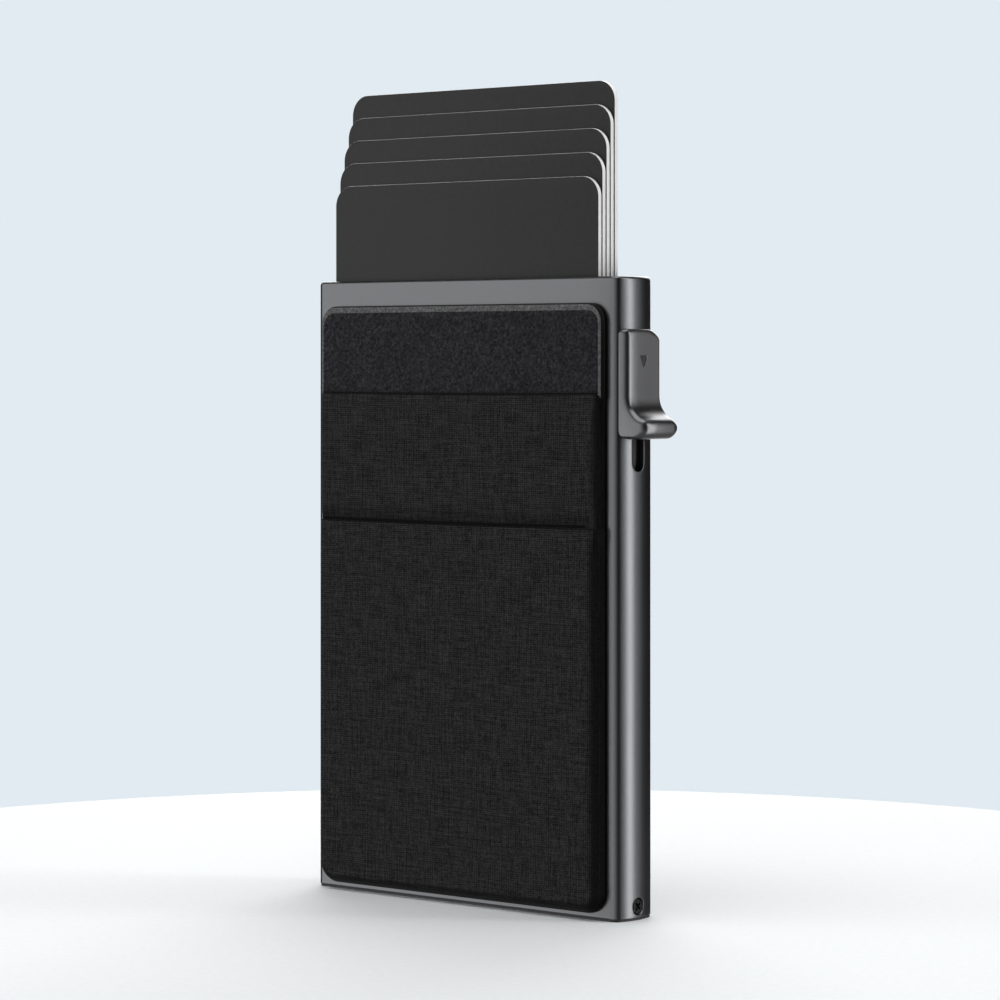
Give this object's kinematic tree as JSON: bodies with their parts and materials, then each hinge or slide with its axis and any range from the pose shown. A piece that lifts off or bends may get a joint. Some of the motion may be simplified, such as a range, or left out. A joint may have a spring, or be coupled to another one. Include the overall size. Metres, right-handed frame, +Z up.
{
  "type": "pop-up card wallet",
  "caption": "Slim metal card case with a sprung thumb slide that fans stored cards up in steps, and a stretch-fabric pocket pad on its front face.",
  "frame": {"origin": "middle of the case's foot, on the flat underside of the bottom cap", "axes": "+X across the width towards the thumb slide, +Y from the pocket pad to the plain back, +Z up towards the cards"},
  "size_m": [0.0673, 0.0111, 0.1274],
  "materials": {
    "anodised_grey": "satin grey anodised, fine bead-blast grain",
    "slide_grey": "satin grey anodised, polished edges",
    "black_plastic": "moulded black nylon, fine spark-erosion grain",
    "black_screw": "black oxide steel",
    "felt": "dark pressed felt",
    "spring_steel": "stamped stainless, rolled grain",
    "plain_steel": "turned steel",
    "card_face": "matt black PVC faces, white core at the edges",
    "adhesive": "acrylic foam tape",
    "suede": "black microfibre suede on board, grey bound rim",
    "stretch_fabric": "black fine-ribbed stretch weave"
  },
  "bodies": {
    "case_body": {"case": "anodised_grey", "bottom_cap": "black_plastic", "cap_screw_left": "black_screw", "cap_screw_right": "black_screw", "left_rail": "black_plastic", "right_rail": "black_plastic", "felt_strips": "felt", "pivot_pin": "plain_steel", "return_spring": "plain_steel", "adhesive_sheet": "adhesive", "pad_board": "suede", "inner_pocket": "stretch_fabric", "outer_pocket": "stretch_fabric"},
    "slide_body": {"thumb_slide": "slide_grey", "slide_carriage": "black_plastic", "carriage_screws": "plain_steel", "drive_rod": "spring_steel"},
    "finger_body": {"finger_1": "spring_steel", "finger_2": "spring_steel", "finger_3": "spring_steel", "finger_4": "spring_steel", "finger_5": "spring_steel", "finger_washers": "plain_steel", "crank_plate": "spring_steel", "arm_rivet": "plain_steel", "drive_pin": "plain_steel"},
    "card_1_body": {"card_1": "card_face"},
    "card_2_body": {"card_2": "card_face"},
    "card_3_body": {"card_3": "card_face"},
    "card_4_body": {"card_4": "card_face"},
    "card_5_body": {"card_5": "card_face"}
  },
  "joints": [
    {"name": "lever_slide", "type": "slide", "parent": "case_body", "child": "slide_body", "axis": [0, 0, -1], "range_m": [0, 0.00741], "stiffness_N_per_m": 200, "springref_m": -0.01, "deforming": ["return_spring"]},
    {"name": "finger_swing", "type": "hinge", "parent": "case_body", "child": "finger_body", "pos_m": [0.01983, 0, 0.0076], "axis": [0, 1, 0], "range_deg": [0, 50]},
    {"name": "card_1_slide", "type": "slide", "parent": "case_body", "child": "card_1_body", "axis": [0, 0, 1], "range_m": [-0.0159, 0.0723]},
    {"name": "card_2_slide", "type": "slide", "parent": "case_body", "child": "card_2_body", "axis": [0, 0, 1], "range_m": [-0.0196, 0.0686]},
    {"name": "card_3_slide", "type": "slide", "parent": "case_body", "child": "card_3_body", "axis": [0, 0, 1], "range_m": [-0.0233, 0.0649]},
    {"name": "card_4_slide", "type": "slide", "parent": "case_body", "child": "card_4_body", "axis": [0, 0, 1], "range_m": [-0.027, 0.0612]},
    {"name": "card_5_slide", "type": "slide", "parent": "case_body", "child": "card_5_body", "axis": [0, 0, 1], "range_m": [-0.0307, 0.0575]}
  ],
  "couplings": [
    {"joint": "finger_swing", "follows": "lever_slide", "rad_per_m": 117.67}
  ]
}
